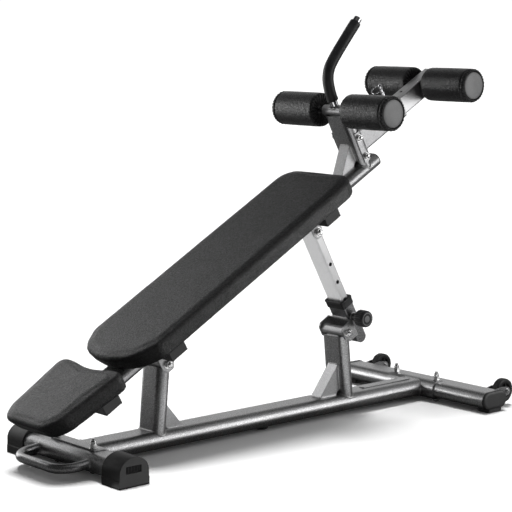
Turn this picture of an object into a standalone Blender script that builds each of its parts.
# Decline sit-up bench with adjustable incline, roller leg hold-down and transport wheels.
# Lengths are millimetres; place() turns them into metres.  +X runs from the head end to
# the foot end, +Z is up, and +Y is on the left when looking at the bench from its head
# end.  The floor is Z = 0.
import bpy
import bmesh
import math
from mathutils import Vector

for ob in list(bpy.data.objects):
    bpy.data.objects.remove(ob, do_unlink=True)

PI = math.pi
CENTRE_X = 688.5          # middle of the overall length, moved to X = 0 by place()
GAP = 0.3                 # left between neighbouring pieces
SIDES = (("left", 1), ("right", -1))

# Flat-oval tubes: width, thickness
RAIL_TUBE = (100, 50)
FRONT_CROSS_TUBE = (88, 50)
REAR_CROSS_TUBE = (100, 50)
FRAME_TUBE = (90, 40)     # bench tube and all posts
WALL = 2.5
PLUG_INSET = WALL + 0.4   # end plugs, from the tube's outside
SLIDE_FIT = 0.4           # play round each telescoping tube

# Bolts, by radius and height; the stub is the thread beyond the nut
SADDLE_BOLT = dict(shank_radius=5, head_radius=9.5, head_height=5.6,
                   nut_radius=9.5, nut_height=12, stub=14)
PIVOT_BOLT = dict(shank_radius=6, head_radius=11, head_height=7,
                  nut_radius=11.5, nut_height=10, stub=5)
ARM_BOLT = dict(shank_radius=5, head_radius=9.2, head_height=6,
                nut_radius=9.5, nut_height=8.5, stub=4.5)
PIVOT_BORE = 6.4
BOLT_HOLE = 5.3

# ---------------------------------------------------------- axes and frames
AXIS_X = Vector((1, 0, 0))
AXIS_Y = Vector((0, 1, 0))
AXIS_Z = Vector((0, 0, 1))

BENCH_SLOPE = math.radians(29.2)
BENCH_DIR = Vector((math.cos(BENCH_SLOPE), 0, math.sin(BENCH_SLOPE)))      # towards the foot end
BENCH_NORMAL = Vector((-math.sin(BENCH_SLOPE), 0, math.cos(BENCH_SLOPE)))  # up from the bench
BENCH_ORIGIN = Vector((604.5, 0, 464.5))                                   # on the tube's axis

LEG_LEAN = math.radians(28.95)
LEG_DIR = Vector((-math.sin(LEG_LEAN), 0, math.cos(LEG_LEAN)))             # up along the leg
LEG_NORMAL = Vector((math.cos(LEG_LEAN), 0, math.sin(LEG_LEAN)))           # towards the foot end
REAR_PIVOT = Vector((994.4, 0, 252.0))
LEG_ORIGIN = REAR_PIVOT + LEG_NORMAL * 53.3


def bench(along, y, height):
    """point in the bench's own frame"""
    return BENCH_ORIGIN + BENCH_DIR * along + AXIS_Y * y + BENCH_NORMAL * height


def leg(along, y, outward):
    """point in the rear leg's own frame"""
    return LEG_ORIGIN + LEG_DIR * along + AXIS_Y * y + LEG_NORMAL * outward


FRONT_PIVOT = bench(-355.3, 0, -50.6)
LEG_PIVOT_AT = 321.4
LEG_PIVOT = leg(LEG_PIVOT_AT, 0, 0)

# A frame is (outline's first axis, outline's second axis, push direction)
LENGTHWISE = (AXIS_Y, AXIS_Z, AXIS_X)
ACROSS = (AXIS_X, AXIS_Z, AXIS_Y)
UPWARD = (AXIS_X, AXIS_Y, AXIS_Z)
BENCH_LENGTHWISE = (AXIS_Y, BENCH_NORMAL, BENCH_DIR)
BENCH_ACROSS = (BENCH_DIR, BENCH_NORMAL, AXIS_Y)
BENCH_UPWARD = (BENCH_DIR, AXIS_Y, BENCH_NORMAL)
LEG_LENGTHWISE = (AXIS_Y, LEG_NORMAL, LEG_DIR)
LEG_ACROSS = (LEG_DIR, LEG_NORMAL, AXIS_Y)


def frame_along(axis):
    """frame pushing along axis, with its first axis close to Y (or X if axis is Y)"""
    first = AXIS_Y if abs(axis.y) < 0.9 else AXIS_X
    first = (first - axis * first.dot(axis)).normalized()
    return first, axis.cross(first), axis


# ---------------------------------------------------------------- materials
VIEWPORT_COLOURS = {      # RGBA
    "frame_paint": (0.42, 0.42, 0.43, 1),
    "silver_paint": (0.72, 0.72, 0.73, 1),
    "chrome": (0.8, 0.8, 0.82, 1),
    "zinc": (0.66, 0.66, 0.64, 1),
    "black_paint": (0.03, 0.03, 0.03, 1),
    "black_plastic": (0.03, 0.03, 0.032, 1),
    "black_rubber": (0.02, 0.02, 0.02, 1),
    "grey_plastic": (0.35, 0.35, 0.36, 1),
    "pad_leather": (0.035, 0.035, 0.037, 1),
    "roller_leather": (0.04, 0.04, 0.042, 1),
    "plywood": (0.55, 0.4, 0.25, 1),
}
MATERIALS = {}
for name, colour in VIEWPORT_COLOURS.items():
    MATERIALS[name] = bpy.data.materials.new(name)
    MATERIALS[name].diffuse_color = colour


# ----------------------------------------------------------------- outlines
def arc(x, y, radius, start, sweep, steps):
    angles = [start + sweep * i / steps for i in range(steps + 1)]
    return [(x + radius * math.cos(angle), y + radius * math.sin(angle)) for angle in angles]


def circle(radius, segments=20, phase=0.0):
    return arc(0, 0, radius, phase, 2 * PI, segments)[:-1]


def oval(size, grow=0.0):
    """flat-sided oval with round ends, pushed outwards by grow"""
    radius = size[1] / 2 + grow
    centre = size[0] / 2 + grow - radius
    return arc(centre, 0, radius, -PI / 2, PI, 8) + arc(-centre, 0, radius, PI / 2, PI, 8)


def rounded_rect(size, radius, grow=0.0, steps=4):
    """rectangle grown on every side, its corners rounded to the given radius"""
    x = size[0] / 2 + grow - radius
    y = size[1] / 2 + grow - radius
    corners = ((x, -y, -PI / 2), (x, y, 0), (-x, y, PI / 2), (-x, -y, PI))
    return [point for cx, cy, start in corners
            for point in arc(cx, cy, radius, start, PI / 2, steps)]


def corner_arc(before, corner, after, radius, steps):
    """arc that rounds one corner of a path"""
    back = (before - corner).normalized()
    ahead = (after - corner).normalized()
    angle = back.angle(ahead)
    setback = radius / math.tan(angle / 2)
    centre = corner + (back + ahead).normalized() * (radius / math.sin(angle / 2))
    start = corner + back * setback - centre
    end = corner + ahead * setback - centre
    sweep = start.angle(end)
    return [centre + start * (math.sin((1 - i / steps) * sweep) / math.sin(sweep))
            + end * (math.sin(i / steps * sweep) / math.sin(sweep))
            for i in range(steps + 1)]


def rounded_outline(corners, steps):
    """closed outline from rows of (x, y, corner radius)"""
    points = [Vector((x, y)) for x, y, radius in corners]
    outline = []
    for i, point in enumerate(points):
        after = points[(i + 1) % len(points)]
        outline += corner_arc(points[i - 1], point, after, corners[i][2], steps)
    return [tuple(point) for point in outline]


def inset(loop, distance):
    """outline moved towards its middle, square to itself at each point"""
    count = len(loop)
    middle = Vector((sum(p[0] for p in loop) / count, sum(p[1] for p in loop) / count))
    moved = []
    for i in range(count):
        point = Vector(loop[i])
        tangent = (Vector(loop[(i + 1) % count]) - Vector(loop[i - 1])).normalized()
        inward = Vector((-tangent.y, tangent.x))
        if inward.dot(middle - point) < 0:
            inward = -inward
        moved.append(tuple(point + inward * distance))
    return moved


def smooth_path(points, steps):
    """Catmull-Rom curve through the points"""
    knots = [points[0]] + points + [points[-1]]
    path = []
    for i in range(1, len(knots) - 2):
        p0, p1, p2, p3 = knots[i - 1:i + 3]
        for k in range(steps):
            t = k / steps
            path.append(0.5 * ((2 * p1) + (p2 - p0) * t + (2 * p0 - 5 * p1 + 4 * p2 - p3) * t * t
                               + (3 * p1 - p0 - 3 * p2 + p3) * t ** 3))
    return path + [points[-1]]


# ------------------------------------------------------------------- solids
def to_object(bm):
    bmesh.ops.remove_doubles(bm, verts=bm.verts[:], dist=1e-5)
    bmesh.ops.recalc_face_normals(bm, faces=bm.faces[:])
    mesh = bpy.data.meshes.new("shape")
    bm.to_mesh(mesh)
    bm.free()
    ob = bpy.data.objects.new("shape", mesh)
    bpy.context.scene.collection.objects.link(ob)
    return ob


def add_ring(bm, loop, origin, frame, along=0.0):
    first, second, push = frame
    return [bm.verts.new(origin + first * x + second * y + push * along) for x, y in loop]


def stitch(bm, ring_a, ring_b):
    """band of quads between two closed rings"""
    for i in range(len(ring_a)):
        j = (i + 1) % len(ring_a)
        bm.faces.new((ring_a[i], ring_a[j], ring_b[j], ring_b[i]))


def prism(loop, origin, frame, length):
    bm = bmesh.new()
    start = add_ring(bm, loop, origin, frame)
    end = add_ring(bm, loop, origin, frame, length)
    stitch(bm, start, end)
    bm.faces.new(start[::-1])
    bm.faces.new(end)
    return to_object(bm)


def pipe(outer, inner, origin, frame, length):
    """hollow prism with open ends; outer and inner have equal counts"""
    bm = bmesh.new()
    rings = [add_ring(bm, loop, origin, frame, along)
             for loop, along in ((outer, 0), (outer, length), (inner, length), (inner, 0))]
    for i in range(4):
        stitch(bm, rings[i], rings[(i + 1) % 4])
    return to_object(bm)


def oval_tube(size, origin, frame, length):
    return pipe(oval(size), oval(size, -WALL), origin, frame, length)


def side_prism(loop, x, z, near, far, side):
    """prism along Y between distances near and far from the middle, on one side"""
    origin = Vector((x, min(near * side, far * side), z))
    return prism(loop, origin, ACROSS, far - near)


def lathe(profile, origin, axis, segments=20):
    """closed profile of (radius, distance along axis) turned about axis"""
    first = AXIS_Z if abs(axis.z) < 0.9 else AXIS_X
    first = (first - axis * first.dot(axis)).normalized()
    second = axis.cross(first)
    bm = bmesh.new()
    poles = {j: bm.verts.new(origin + axis * along)
             for j, (radius, along) in enumerate(profile) if radius == 0}
    columns = []
    for i in range(segments):
        turn = 2 * PI * i / segments
        outward = first * math.cos(turn) + second * math.sin(turn)
        columns.append([poles[j] if j in poles
                        else bm.verts.new(origin + axis * along + outward * radius)
                        for j, (radius, along) in enumerate(profile)])
    for i in range(segments):
        here, there = columns[i], columns[(i + 1) % segments]
        for j in range(len(profile)):
            k = (j + 1) % len(profile)
            corners = list(dict.fromkeys((here[j], here[k], there[k], there[j])))
            if len(corners) > 2:      # an edge lying on the axis makes no face
                bm.faces.new(corners)
    return to_object(bm)


def bent_tube(path, outer, inner, plane_normal=AXIS_Y):
    """round tube swept along a flat path"""
    bm = bmesh.new()
    outer_rings, inner_rings = [], []
    last = len(path) - 1
    for i, point in enumerate(path):
        tangent = (path[min(i + 1, last)] - path[max(i - 1, 0)]).normalized()
        side = tangent.cross(plane_normal).normalized()
        frame = (side, side.cross(tangent), tangent)
        outer_rings.append(add_ring(bm, circle(outer, 10), point, frame))
        inner_rings.append(add_ring(bm, circle(inner, 10), point, frame))
    for i in range(last):
        stitch(bm, outer_rings[i], outer_rings[i + 1])
        stitch(bm, inner_rings[i][::-1], inner_rings[i + 1][::-1])
    for end in (0, last):
        stitch(bm, outer_rings[end], inner_rings[end])
    return to_object(bm)


def rod(start, end, radius, segments=16):
    """plain round bar between two points"""
    span = end - start
    return prism(circle(radius, segments), start, frame_along(span.normalized()), span.length)


def cross_rod(centre, radius, segments=16):
    """bar along Y, long enough to pass right through any piece"""
    return rod(centre - AXIS_Y * 60, centre + AXIS_Y * 60, radius, segments)


def boolean(target, others, operation):
    """apply the others to target one by one, then delete them"""
    for other in others:
        modifier = target.modifiers.new("boolean", "BOOLEAN")
        modifier.operation = operation
        modifier.solver = "EXACT"
        modifier.object = other
        depsgraph = bpy.context.evaluated_depsgraph_get()
        depsgraph.update()
        result = bpy.data.meshes.new_from_object(target.evaluated_get(depsgraph))
        target.modifiers.clear()
        old = target.data
        target.data = result
        bpy.data.meshes.remove(old)
    for other in others:
        mesh = other.data
        bpy.data.objects.remove(other, do_unlink=True)
        bpy.data.meshes.remove(mesh)
    return target


def cut(target, *cutters):
    return boolean(target, cutters, "DIFFERENCE")


def join(target, *others):
    return boolean(target, others, "UNION")


def place(name, material, ob, sharp_angle=32):
    """name the piece, clean its mesh, turn it to metres, shade it"""
    mesh = ob.data
    bm = bmesh.new()
    bm.from_mesh(mesh)
    bmesh.ops.remove_doubles(bm, verts=bm.verts[:], dist=0.004)
    bmesh.ops.dissolve_degenerate(bm, edges=bm.edges[:], dist=0.004)
    for vert in bm.verts:
        x, y, z = vert.co
        vert.co = Vector(((x - CENTRE_X) / 1000.0, y / 1000.0, z / 1000.0))
    bmesh.ops.recalc_face_normals(bm, faces=bm.faces[:])
    bm.to_mesh(mesh)
    bm.free()
    mesh.materials.append(MATERIALS[material])
    mesh.shade_smooth()
    mesh.set_sharp_from_angle(angle=math.radians(sharp_angle))
    ob.name = name
    mesh.name = name


# ------------------------------------------------------------- shared parts
def hex_bolt(name, origin, axis, grip, shank_radius, head_radius, head_height,
             nut_radius, nut_height, stub):
    """bolt along axis: head behind origin, nut at distance grip, tapered stub"""
    frame = frame_along(axis)
    nut_end = grip + nut_height
    bolt = prism(circle(head_radius, 6), origin - axis * head_height, frame, head_height)
    shank = lathe([(0, -head_height / 2), (shank_radius, -head_height / 2),
                   (shank_radius, nut_end + stub * 0.55),
                   (shank_radius * 0.7, nut_end + stub * 0.9), (0, nut_end + stub)],
                  origin, axis, 12)
    nut = prism(circle(nut_radius, 6, PI / 6), origin + axis * grip, frame, nut_height)
    place(name, "zinc", join(bolt, shank, nut))


def cross_bolt(name, centre, half_grip, sizes):
    """bolt along Y with its head on the +Y side"""
    hex_bolt(name, centre + AXIS_Y * half_grip, -AXIS_Y, 2 * half_grip, **sizes)


def add_sleeve(post, centre, frame, radius, overlap, bore, half_length):
    """trim the post round a sleeve along Y, then weld the sleeve on"""
    cut(post, cross_rod(centre, radius - overlap, 20))
    join(post, pipe(circle(radius), circle(bore), centre - AXIS_Y * half_length, frame,
                    2 * half_length))
    return cut(post, cross_rod(centre, bore, 20))


def gusset(triangle, base, frame):
    """folded plate: face from top to toe with two cheeks, open towards the corner"""
    half_width, thickness, beyond = 20, 3.5, 200
    top, toe, corner = [Vector(point) for point in triangle]
    edge = (toe - top).normalized()
    inward = Vector((-edge.y, edge.x))
    if inward.dot(corner - top) < 0:
        inward = -inward
    start = top + inward * thickness - edge * beyond
    end = toe + inward * thickness + edge * beyond
    hollow = [tuple(p) for p in (start, end, end + inward * beyond, start + inward * beyond)]
    half_inside = half_width - thickness
    plate = prism(triangle, base - AXIS_Y * half_width, frame, 2 * half_width)
    return cut(plate, prism(hollow, base - AXIS_Y * half_inside, frame, 2 * half_inside))


EAR_THICKNESS = 5
WEB = -(FRAME_TUBE[1] / 2 + GAP)      # outer face of a pivot bracket's web


def u_bracket(profile, hollow_to, base, frame, half_inside, pivot):
    """web with an ear on each side, bored for the pivot bolt"""
    half_width = half_inside + EAR_THICKNESS
    hollow_from = WEB - EAR_THICKNESS
    hollow = [(-80, hollow_from), (80, hollow_from), (80, hollow_to), (-80, hollow_to)]
    bracket = prism(profile, base - AXIS_Y * half_width, frame, 2 * half_width)
    cut(bracket, prism(hollow, base - AXIS_Y * half_inside, frame, 2 * half_inside))
    return cut(bracket, cross_rod(pivot, PIVOT_BORE))


# ============================================================== floor frame
FLOOR_Z = 37.0            # height of the floor tubes' middle
RAIL_TOP = FLOOR_Z + RAIL_TUBE[1] / 2
FRONT_X, REAR_X = 48.5, 1367.0        # cross tubes
FRONT_HALF, REAR_HALF = 246, 296      # half lengths of the cross tubes
SADDLE_THICKNESS = 4.5
SADDLE_COPE = 4.9         # the rail stops this far from the cross tubes
PAD_HEIGHT = 11.6         # floor pads under the tubes


def cross_cutter(x, size, grow):
    return prism(oval(size, grow), Vector((x, -400, FLOOR_Z)), ACROSS, 800)


# main rail, coped over both saddles
place("base_rail", "frame_paint",
      cut(oval_tube(RAIL_TUBE, Vector((60, 0, FLOOR_Z)), LENGTHWISE, 1295),
          cross_cutter(FRONT_X, FRONT_CROSS_TUBE, SADDLE_COPE),
          cross_cutter(REAR_X, REAR_CROSS_TUBE, SADDLE_COPE)))


def saddle(x, size, facing, lip):
    """C plate round a cross tube's inner side; lip is where its edges end"""
    half_width = 98
    tube_radius = size[1] / 2
    centre = size[0] / 2 - tube_radius
    outer, inner = [
        [(lip, radius), (centre * 0.5, radius)] + arc(centre, 0, radius, PI / 2, -PI, 8)
        + [(lip, -radius)]
        for radius in (tube_radius + SADDLE_THICKNESS, tube_radius + GAP)]
    loop = [(along * facing, z) for along, z in outer + inner[::-1]]
    return prism(loop, Vector((x, -half_width, FLOOR_Z)), ACROSS, 2 * half_width)


# cross tubes and saddles, bolted on both sides of the rail
for end, x, size, half, facing, lip, bolt_x, bolt_y in (
        ("front", FRONT_X, FRONT_CROSS_TUBE, FRONT_HALF, 1, -10.5, FRONT_X, 80),
        ("rear", REAR_X, REAR_CROSS_TUBE, REAR_HALF, -1, 4.0, 1346, 85)):
    tube = oval_tube(size, Vector((x, -half, FLOOR_Z)), ACROSS, 2 * half)
    for kind, ob in (("saddle", saddle(x, size, facing, lip)), ("cross_tube", tube)):
        cut(ob, *[rod(Vector((bolt_x, y, 2)), Vector((bolt_x, y, 80)), BOLT_HOLE, 12)
                  for y in (-bolt_y, bolt_y)])
        place(f"{end}_{kind}", "frame_paint", ob)
    half_grip = size[1] / 2 + SADDLE_THICKNESS + GAP
    for side_name, side in SIDES:
        hex_bolt(f"{end}_saddle_bolt_{side_name}",
                 Vector((bolt_x, bolt_y * side, FLOOR_Z - half_grip)), AXIS_Z,
                 2 * half_grip, **SADDLE_BOLT)

# rubber boots on the front cross tube, flat underneath, arched on top
BOOT_OUTER = 254
BOOT_OUTLINE = [(-48.5, 0), (48.5, 0), (48.5, 20), (47, 22.5)]      # x from the tube, z
BOOT_OUTLINE += [(47 * math.cos(PI * i / 12), 38 + 40 * math.sin(PI * i / 12))
                 for i in range(13)]
BOOT_OUTLINE += [(-47, 22.5), (-48.5, 20)]
for side_name, side in SIDES:
    boot = side_prism(BOOT_OUTLINE, FRONT_X, 0, BOOT_OUTER - 76, BOOT_OUTER, side)
    socket = side_prism(oval(FRONT_CROSS_TUBE, 0.35), FRONT_X, FLOOR_Z,
                        170, FRONT_HALF + 0.4, side)
    recess = side_prism(rounded_rect((48, 18), 2, steps=3), FRONT_X - 2, 46,
                        BOOT_OUTER - 5, BOOT_OUTER + 5, side)
    place(f"front_foot_{side_name}", "black_rubber", cut(boot, socket, recess))

# end caps with floor pads on the rear cross tube
for side_name, side in SIDES:
    cap_in = REAR_HALF + GAP
    rim, face, plug = [
        side_prism(oval(REAR_CROSS_TUBE, grow), REAR_X, FLOOR_Z, near, far, side)
        for grow, near, far in ((2, cap_in, 304), (-1, 303, 307),
                                (-PLUG_INSET, cap_in - 18, cap_in + 1))]
    pad = prism(rounded_rect((58, 44), 3, steps=3), Vector((REAR_X + 2, 282 * side, 0)),
                UPWARD, PAD_HEIGHT)
    place(f"rear_cap_{side_name}", "black_rubber", join(rim, face, plug, pad))

# round stub under the middle of the rail
place("rail_middle_foot", "black_rubber",
      lathe([(0, 0), (16, 0), (18, 3), (18, PAD_HEIGHT), (0, PAD_HEIGHT)],
            Vector((700, 0, 0)), AXIS_Z))

# flat strap on the rail, on the head side of the rear saddle
place("rail_top_strap", "frame_paint",
      prism([(1104, -7), (1108, -10), (1306, -10), (1306, 10), (1108, 10), (1104, 7)],
            Vector((0, 0, RAIL_TOP + GAP)), UPWARD, 3))


def beside(foot, top, z, side):
    """(x, z) just off a post's face at height z; side +1 faces the foot end"""
    span = top - foot
    along = (z - foot.z) / span.z
    return (foot.x + span.x * along + side * 20.35 * span.length / span.z, z)


def post(foot, top, sleeve_radius):
    """post standing on the rail with a pivot sleeve on top"""
    direction = (top - foot).normalized()
    start = foot - direction * 30
    tube = oval_tube(FRAME_TUBE, start, (AXIS_Y, direction.cross(AXIS_Y), direction),
                     (top - start).length - 11)
    cut(tube, prism(oval(RAIL_TUBE, GAP), Vector((-200, 0, FLOOR_Z)), LENGTHWISE, 2000))
    return add_sleeve(tube, top, ACROSS, sleeve_radius, 2, PIVOT_BORE, 45)


# posts, each with a gusset on the side facing the other post
for end, foot_x, top, sleeve_radius, gusset_top, gusset_toe, side in (
        ("front", 303.2, FRONT_PIVOT, 17, 137, 394, 1),
        ("rear", 1014.0, REAR_PIVOT, 16, 153, 914, -1)):
    foot = Vector((foot_x, 0, RAIL_TOP))
    base_z = RAIL_TOP + GAP
    place(f"{end}_post", "frame_paint", post(foot, top, sleeve_radius))
    triangle = [beside(foot, top, gusset_top, side), (gusset_toe, base_z),
                beside(foot, top, base_z, side)]
    place(f"{end}_post_gusset", "silver_paint", gusset(triangle, Vector((0, 0, 0)), ACROSS))

# carrying handle at the head end
h0, h1, h2, h3 = HANDLE_CORNERS = [Vector(p) for p in (
    (8.5, 112, 39), (-74, 112, 33), (-74, -112, 33), (8.5, -112, 39))]
HANDLE_BEND = 52
handle_path = ([h0] + corner_arc(h0, h1, h2, HANDLE_BEND, 6)
               + corner_arc(h1, h2, h3, HANDLE_BEND, 6) + [h3])
handle_normal = (h1 - h0).cross(h2 - h1).normalized()
place("carry_handle", "frame_paint",
      cut(bent_tube(handle_path, 12.5, 10.3, handle_normal),
          cross_cutter(FRONT_X, FRONT_CROSS_TUBE, GAP)))

# transport wheels in forks on the foot-end side of the rear cross tube
AXLE_PROFILE = [          # radius, y from the wheel's middle
    (0, -27.5), (4, -27.5), (7.5, -26), (7.5, -18), (4, -18),
    (4, 18), (7.5, 18), (7.5, 26), (4, 27.5), (0, 27.5)]
FORK_ARM_OUTLINE = [      # x, z
    (1404, 60), (1426, 64), (1453, 61), (1463, 55), (1466, 48),
    (1463, 41), (1453, 36), (1422, 22), (1404, 14)]
WHEEL_PROFILE = [         # radius, y from the wheel's middle
    (4.4, -13), (4.4, 13), (9.5, 13), (11, 4), (22, 4), (24, 11), (33.5, 12), (36.5, 8.5),
    (36.5, -8.5), (33.5, -12), (24, -11), (22, -4), (11, -4), (9.5, -13)]
for side_name, side in SIDES:
    centre = Vector((1453.5, 258 * side, 48))
    arms = [prism(FORK_ARM_OUTLINE, Vector((0, centre.y + y, 0)), ACROSS, 4)
            for y in (-20.5, 16.5)]
    fork = join(lathe(AXLE_PROFILE, centre, AXIS_Y, 12), *arms)
    place(f"wheel_fork_{side_name}", "frame_paint",
          cut(fork, cross_cutter(REAR_X, REAR_CROSS_TUBE, GAP)))
    place(f"wheel_{side_name}", "black_rubber", lathe(WHEEL_PROFILE, centre, AXIS_Y, 24))

# ========================================================== reclining bench
BENCH_START, BENCH_END = -690.0, 597.0
TUBE_TOP = FRAME_TUBE[1] / 2          # height of the bench tube's upper face

place("bench_tube", "frame_paint",
      oval_tube(FRAME_TUBE, bench(BENCH_START, 0, 0), BENCH_LENGTHWISE,
                BENCH_END - BENCH_START))
rim, face, plug = [
    prism(oval(FRAME_TUBE, grow), bench(BENCH_END + start, 0, 0), BENCH_LENGTHWISE, length)
    for grow, start, length in ((0, GAP, 2.5), (-3, GAP + 1, 3.5), (-PLUG_INSET, -16, 17.5))]
place("bench_tube_cap", "black_plastic", join(rim, face, plug))

# pivot brackets under the bench tube, and their bolts
for end, pivot, half_inside, reach, half in (
        ("front", FRONT_PIVOT, 45.4, 21, 22), ("leg", LEG_PIVOT, 30.5, 20, 19)):
    along = (pivot - BENCH_ORIGIN).dot(BENCH_DIR)
    height = (pivot - BENCH_ORIGIN).dot(BENCH_NORMAL)
    ear_outline = [(-half, WEB), (half, WEB), (half, height - 4), (half * 0.5, height - reach),
                   (-half * 0.5, height - reach), (-half, height - 4)]
    place(f"{end}_pivot_bracket", "silver_paint",
          u_bracket(ear_outline, height - 90, bench(along, 0, 0), BENCH_ACROSS,
                    half_inside, pivot))
    cross_bolt(f"{end}_pivot_bolt", pivot, half_inside + EAR_THICKNESS + GAP, PIVOT_BOLT)

# pressed pad supports laid over the bench tube, hollow underneath on both sides
SUPPORT_WALL = 3
SUPPORT_INNER = 46        # half width of the channel round the tube
SUPPORT_LENGTH = 58
CHANNEL_TOP = TUBE_TOP + GAP
SUPPORT_TOP = CHANNEL_TOP + SUPPORT_WALL
for position, along, half in (("head", -582, 96), ("lower", -342, 108), ("upper", 306, 108)):
    start = along - SUPPORT_LENGTH / 2
    outline = [(-half, -20), (-SUPPORT_INNER, -20), (-SUPPORT_INNER, CHANNEL_TOP),
               (SUPPORT_INNER, CHANNEL_TOP), (SUPPORT_INNER, -20), (half, -20),
               (half, SUPPORT_TOP), (-half, SUPPORT_TOP)]
    near, far = SUPPORT_INNER + SUPPORT_WALL, half - SUPPORT_WALL
    hollows = [prism([(a, -40), (b, -40), (b, CHANNEL_TOP), (a, CHANNEL_TOP)],
                     bench(start + SUPPORT_WALL, 0, 0), BENCH_LENGTHWISE,
                     SUPPORT_LENGTH - 2 * SUPPORT_WALL)
               for a, b in ((near, far), (-far, -near))]
    place(f"pad_support_{position}", "black_paint",
          cut(prism(outline, bench(start, 0, 0), BENCH_LENGTHWISE, SUPPORT_LENGTH), *hollows))

# pads: cushion over a plywood board
PAD_BOTTOM = SUPPORT_TOP + GAP
PAD_TOP = 75.5
PAD_CROWN = 1.8           # rise of the flat middle above the rounded edge
LEAN_HEIGHT = 40          # the head end leans in below this height
BOARD_THICKNESS = 12.0
LONG_PAD_CORNERS = [      # along, y, corner radius
    (-408, -146, 60), (413, -146, 60), (413, 146, 60), (-408, 146, 60),
    (-482, 106, 90), (-505, 0, 160), (-482, -106, 90)]
HEAD_PAD_CORNERS = [      # the edge towards the foot end is dished
    (-786, -92, 45), (-738, -118, 60), (-545, -138, 25), (-526, -120, 25), (-541, 0, 500),
    (-526, 120, 25), (-545, 138, 25), (-738, 118, 60), (-786, 92, 45)]


def leaned(loop, lean_from, run, lean):
    """shift points on the head side of lean_from towards the foot end, fully after run"""
    return [(along + lean * max(0.0, min(1.0, (lean_from - along) / run)), y)
            for along, y in loop]


def cushion(loop, flat_inset, lean_from, run, lean):
    """soft block with a rounded top edge and a recess for its board"""
    bm = bmesh.new()
    rings = []
    for height, distance in (
            (PAD_BOTTOM, 2.0), (PAD_BOTTOM + 8, 0.0), (PAD_TOP - 14, 0.0), (PAD_TOP - 5, 3.5),
            (PAD_TOP, 11.0), (PAD_TOP + PAD_CROWN, flat_inset)):
        low = max(0.0, min(1.0, (PAD_BOTTOM + LEAN_HEIGHT - height) / LEAN_HEIGHT))
        level = leaned(inset(loop, distance), lean_from, run, lean * low)
        rings.append([bm.verts.new(bench(along, y, height)) for along, y in level])
    for below, above in zip(rings, rings[1:]):
        stitch(bm, below, above)
    bm.faces.new(rings[-1])
    bm.faces.new(rings[0][::-1])
    recess = prism(leaned(inset(loop, 9.0), lean_from, run, lean),
                   bench(0, 0, PAD_BOTTOM - 5), BENCH_UPWARD, 5 + BOARD_THICKNESS + 0.4)
    return cut(to_object(bm), recess)


for position, corners, steps, flat_inset, *lean in (
        ("long", LONG_PAD_CORNERS, 4, 60, -410, 90, 15),
        ("head", HEAD_PAD_CORNERS, 3, 21, -700, 80, 18)):
    loop = rounded_outline(corners, steps)
    place(f"{position}_pad_cushion", "pad_leather", cushion(loop, flat_inset, *lean), 50)
    place(f"{position}_pad_board", "plywood",
          prism(leaned(inset(loop, 9.6), *lean), bench(0, 0, PAD_BOTTOM), BENCH_UPWARD,
                BOARD_THICKNESS))

# ============================================================ leg hold-down
POST_AT = 551.0           # upper post's place along the bench
LOWER_ROLLER = bench(POST_AT, 0, 195.6)
UPPER_ROLLER = bench(904.6, 0, 78.0)
SLEEVE_RADIUS = 16
ARM_HEIGHT = 76.0
PIN_AT = 740.0            # ring pin's place along the bench
ARM_BOLTS = (("lower", 43.0), ("upper", 105.0))       # height above the bench axis


def arm_bolt_holes():
    return [cross_rod(bench(POST_AT, 0, height), BOLT_HOLE, 12) for _, height in ARM_BOLTS]


# upper post, square to the bench, with the lower roller axle's sleeve on top
upper_post = oval_tube(FRAME_TUBE, bench(POST_AT, 0, 1), (AXIS_Y, BENCH_DIR, BENCH_NORMAL),
                       185.1)
cut(upper_post, prism(oval(FRAME_TUBE, GAP), bench(400, 0, 0), BENCH_LENGTHWISE, 400))
add_sleeve(upper_post, LOWER_ROLLER, BENCH_ACROSS, SLEEVE_RADIUS, 2.5, 8.5, 47)
place("upper_post", "frame_paint", cut(upper_post, *arm_bolt_holes()))

post_face = POST_AT - 20.4
place("upper_post_gusset", "silver_paint",
      gusset([(post_face, 90), (456, CHANNEL_TOP), (post_face, CHANNEL_TOP)],
             BENCH_ORIGIN, BENCH_ACROSS))

# grip handle rising from the sleeve
GRIP_POINTS = [           # along, height
    (551, 214), (552.5, 240), (556.5, 268), (566, 296), (586, 319),
    (620, 336.5), (664, 354), (740, 382), (754, 387)]
grip_path = smooth_path([bench(along, 0, height) for along, height in GRIP_POINTS], 2)
place("grip_tube", "chrome",
      cut(bent_tube(grip_path, 12.0, 9.8), cross_rod(LOWER_ROLLER, SLEEVE_RADIUS + GAP, 20)))
place("grip_rubber", "black_rubber", bent_tube(grip_path[1:-1], 16.5, 12.9))

# clamp bracket round the foot-end side of the upper post, and its bolts
CLAMP_HALF = 48.6
CLAMP_BACK = 575.8
CLAMP_OUTLINE = [         # along, y: outer line, then inner line back
    (540, -CLAMP_HALF), (557, -CLAMP_HALF), (566.5, -46), (CLAMP_BACK, -36),
    (CLAMP_BACK, 36), (566.5, 46), (557, CLAMP_HALF), (540, CLAMP_HALF),
    (540, 45.4), (556.5, 45.4), (564.5, 43.0), (572.3, 34.5),
    (572.3, -34.5), (564.5, -43.0), (556.5, -45.4), (540, -45.4)]
place("arm_clamp_bracket", "silver_paint",
      cut(prism(CLAMP_OUTLINE, bench(0, 0, 24), BENCH_UPWARD, 98), *arm_bolt_holes()))
for level, height in ARM_BOLTS:
    cross_bolt(f"arm_bolt_{level}", bench(POST_AT, 0, height), CLAMP_HALF + GAP, ARM_BOLT)

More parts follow.
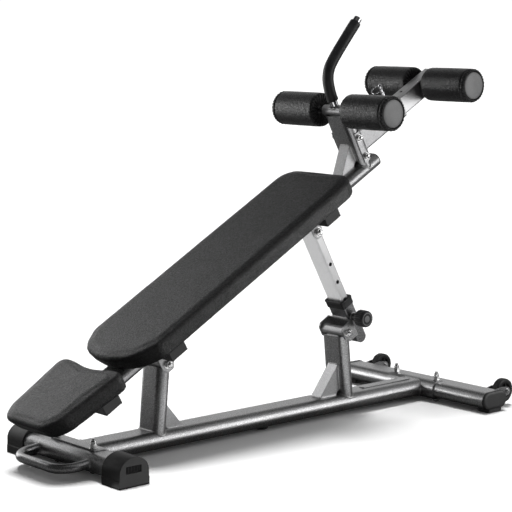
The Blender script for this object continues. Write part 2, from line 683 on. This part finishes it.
# outer arm with the ring pin's boss
ARM_INNER = (40, 60)
ARM_START = CLAMP_BACK + GAP
outer_arm = pipe(rounded_rect((50, 70), 8), rounded_rect(ARM_INNER, 6, SLIDE_FIT),
                 bench(ARM_START, 0, ARM_HEIGHT), BENCH_LENGTHWISE, 778 - ARM_START)
join(outer_arm, prism(circle(10.5, 16), bench(PIN_AT, 0, ARM_HEIGHT + 32.5), BENCH_UPWARD, 18))
cut(outer_arm, rod(bench(PIN_AT, 0, 100), bench(PIN_AT, 0, 140), 4.4, 14))
place("arm_outer_tube", "silver_paint", outer_arm)

# sliding inner arm with holes for the pin and the upper roller axle
ARM_END = 945
inner_arm = pipe(rounded_rect(ARM_INNER, 6), rounded_rect(ARM_INNER, 4, -2),
                 bench(650, 0, ARM_HEIGHT), BENCH_LENGTHWISE, ARM_END - 650)
cut(inner_arm, *[rod(bench(PIN_AT + step, 0, 95), bench(PIN_AT + step, 0, 115), 4.5, 12)
                 for step in (-70, 0, 70)])
place("arm_inner_tube", "chrome", cut(inner_arm, cross_rod(UPPER_ROLLER, 8.4)))

rim, face, plug = [
    prism(rounded_rect(ARM_INNER, radius, grow), bench(start, 0, ARM_HEIGHT),
          BENCH_LENGTHWISE, length)
    for radius, grow, start, length in (
        (6, 0, ARM_END + GAP, 2.5), (5, -2, ARM_END + 1, 4), (3.7, -2.4, ARM_END - 13, 15))]
place("arm_end_plug", "grey_plastic", join(rim, face, plug))


def pull_ring():
    """tilted wire ring through the top of the pin"""
    centre = bench(PIN_AT - 16.5, 0, 164)
    tilted = BENCH_DIR * 0.94 + BENCH_NORMAL * 0.34
    normal = tilted.cross(AXIS_Y)
    bm = bmesh.new()
    rings = []
    for i in range(20):
        turn = 2 * PI * i / 20
        outward = tilted * math.cos(turn) + AXIS_Y * math.sin(turn)
        rings.append(add_ring(bm, circle(1.8, 8), centre + outward * 17.5,
                              (outward, normal, AXIS_Y)))
    for i in range(20):
        stitch(bm, rings[i], rings[(i + 1) % 20])
    return to_object(bm)


PIN_PROFILE = [           # radius, height above the bench axis
    (0, 106.3), (4, 106.3), (4, 146), (5.5, 147), (5.5, 170), (4, 172), (0, 172)]
place("ring_pin", "chrome",
      join(lathe(PIN_PROFILE, bench(PIN_AT, 0, 0), BENCH_NORMAL, 14), pull_ring()))

# roller axles and foam rollers, each bored blind from its inner end
for level, centre, half, outer, bore_end, length in (
        ("lower", LOWER_ROLLER, 222, 233, 223.5, 176),
        ("upper", UPPER_ROLLER, 196, 208.5, 198.5, 177.5)):
    axle_profile = [(0, -half), (7, -half), (8, 1 - half), (8, half - 1), (7, half), (0, half)]
    place(f"{level}_roller_axle", "chrome", lathe(axle_profile, centre, AXIS_Y, 16))
    inner = outer - length
    roller_profile = [(0, outer), (38, outer), (46, outer - 4), (50, outer - 13),
                      (50, inner + 15), (45, inner + 5), (35, inner), (8.6, inner),
                      (8.6, bore_end), (0, bore_end)]
    for side_name, side in SIDES:
        place(f"{level}_roller_{side_name}", "roller_leather",
              lathe(roller_profile, centre, AXIS_Y * side, 22), 50)

# ================================================================= rear leg
LEG_INNER = (60, 30)
SLEEVE = (70, 40)
SLEEVE_TOP = 60
LOCK_AT = 18              # lock knob's place along the leg

# sleeve with a boss on its -Y side; its lower end is rounded off
SLEEVE_SIDE = [(70, -26), (70, 26), (-50, 26)]        # along, outward
SLEEVE_SIDE += arc(-52, 0, 20, PI / 2, PI, 12) + [(-50, -26)]
sleeve = pipe(rounded_rect(SLEEVE, 6), rounded_rect(LEG_INNER, 4, SLIDE_FIT),
              leg(-72, 0, 0), LEG_LENGTHWISE, SLEEVE_TOP + 72)
join(sleeve, prism(circle(12, 16), leg(LOCK_AT, -52, 0), LEG_ACROSS, 18))
cut(sleeve, rod(leg(LOCK_AT, -60, 0), leg(LOCK_AT, -20, 0), 5.3, 14))
boolean(sleeve, [prism(SLEEVE_SIDE, leg(0, -70, 0), LEG_ACROSS, 140)], "INTERSECT")
place("leg_sleeve", "frame_paint", sleeve)

# collar on the sleeve's top, stepped in at its lower end
collar = pipe(rounded_rect((78, 48), 8), rounded_rect(LEG_INNER, 4, SLIDE_FIT),
              leg(SLEEVE_TOP + GAP, 0, 0), LEG_LENGTHWISE, 22)
cut(collar, pipe(rounded_rect((110, 80), 8), rounded_rect((72.5, 42.5), 7),
                 leg(SLEEVE_TOP - 2, 0, 0), LEG_LENGTHWISE, 15))
place("leg_collar", "black_plastic", collar)

# folded bracket joining the sleeve to the rear post's pivot
REAR_EAR_OUTLINE = [      # along, outward
    (-30, WEB), (25, WEB), (25, -60), (17, -70), (-14, -70), (-30, -56)]
REAR_HALF_INSIDE = 45.4
place("leg_sleeve_bracket", "frame_paint",
      u_bracket(REAR_EAR_OUTLINE, -120, LEG_ORIGIN, LEG_ACROSS, REAR_HALF_INSIDE, REAR_PIVOT))
cross_bolt("rear_pivot_bolt", REAR_PIVOT, REAR_HALF_INSIDE + EAR_THICKNESS + GAP, PIVOT_BOLT)

# inner leg with a row of adjustment holes on its -Y side
HOLE_PITCH = 62.8
inner_leg = pipe(rounded_rect(LEG_INNER, 5), rounded_rect(LEG_INNER, 3.4, -2),
                 leg(-8, 0, 0), LEG_LENGTHWISE, LEG_PIVOT_AT + 21 + 8)
for i in range(4):
    along = LOCK_AT + HOLE_PITCH * i
    cut(inner_leg, rod(leg(along, -40, 0), leg(along, -20, 0), 6, 12))
place("leg_inner_tube", "chrome", cut(inner_leg, cross_rod(LEG_PIVOT, 9.6, 20)))

# pull knob and its lock pin
KNOB_PROFILE = [          # radius, distance towards -Y
    (0, 30.4), (5, 30.4), (5, 53), (11, 53), (12.6, 57), (21.5, 59.5),
    (25.3, 63), (24.9, 90), (22.6, 94), (19.5, 94), (19.5, 92.6), (0, 92.6)]
place("lock_knob", "black_plastic", lathe(KNOB_PROFILE, leg(LOCK_AT, 0, 0), -AXIS_Y, 24), 28)
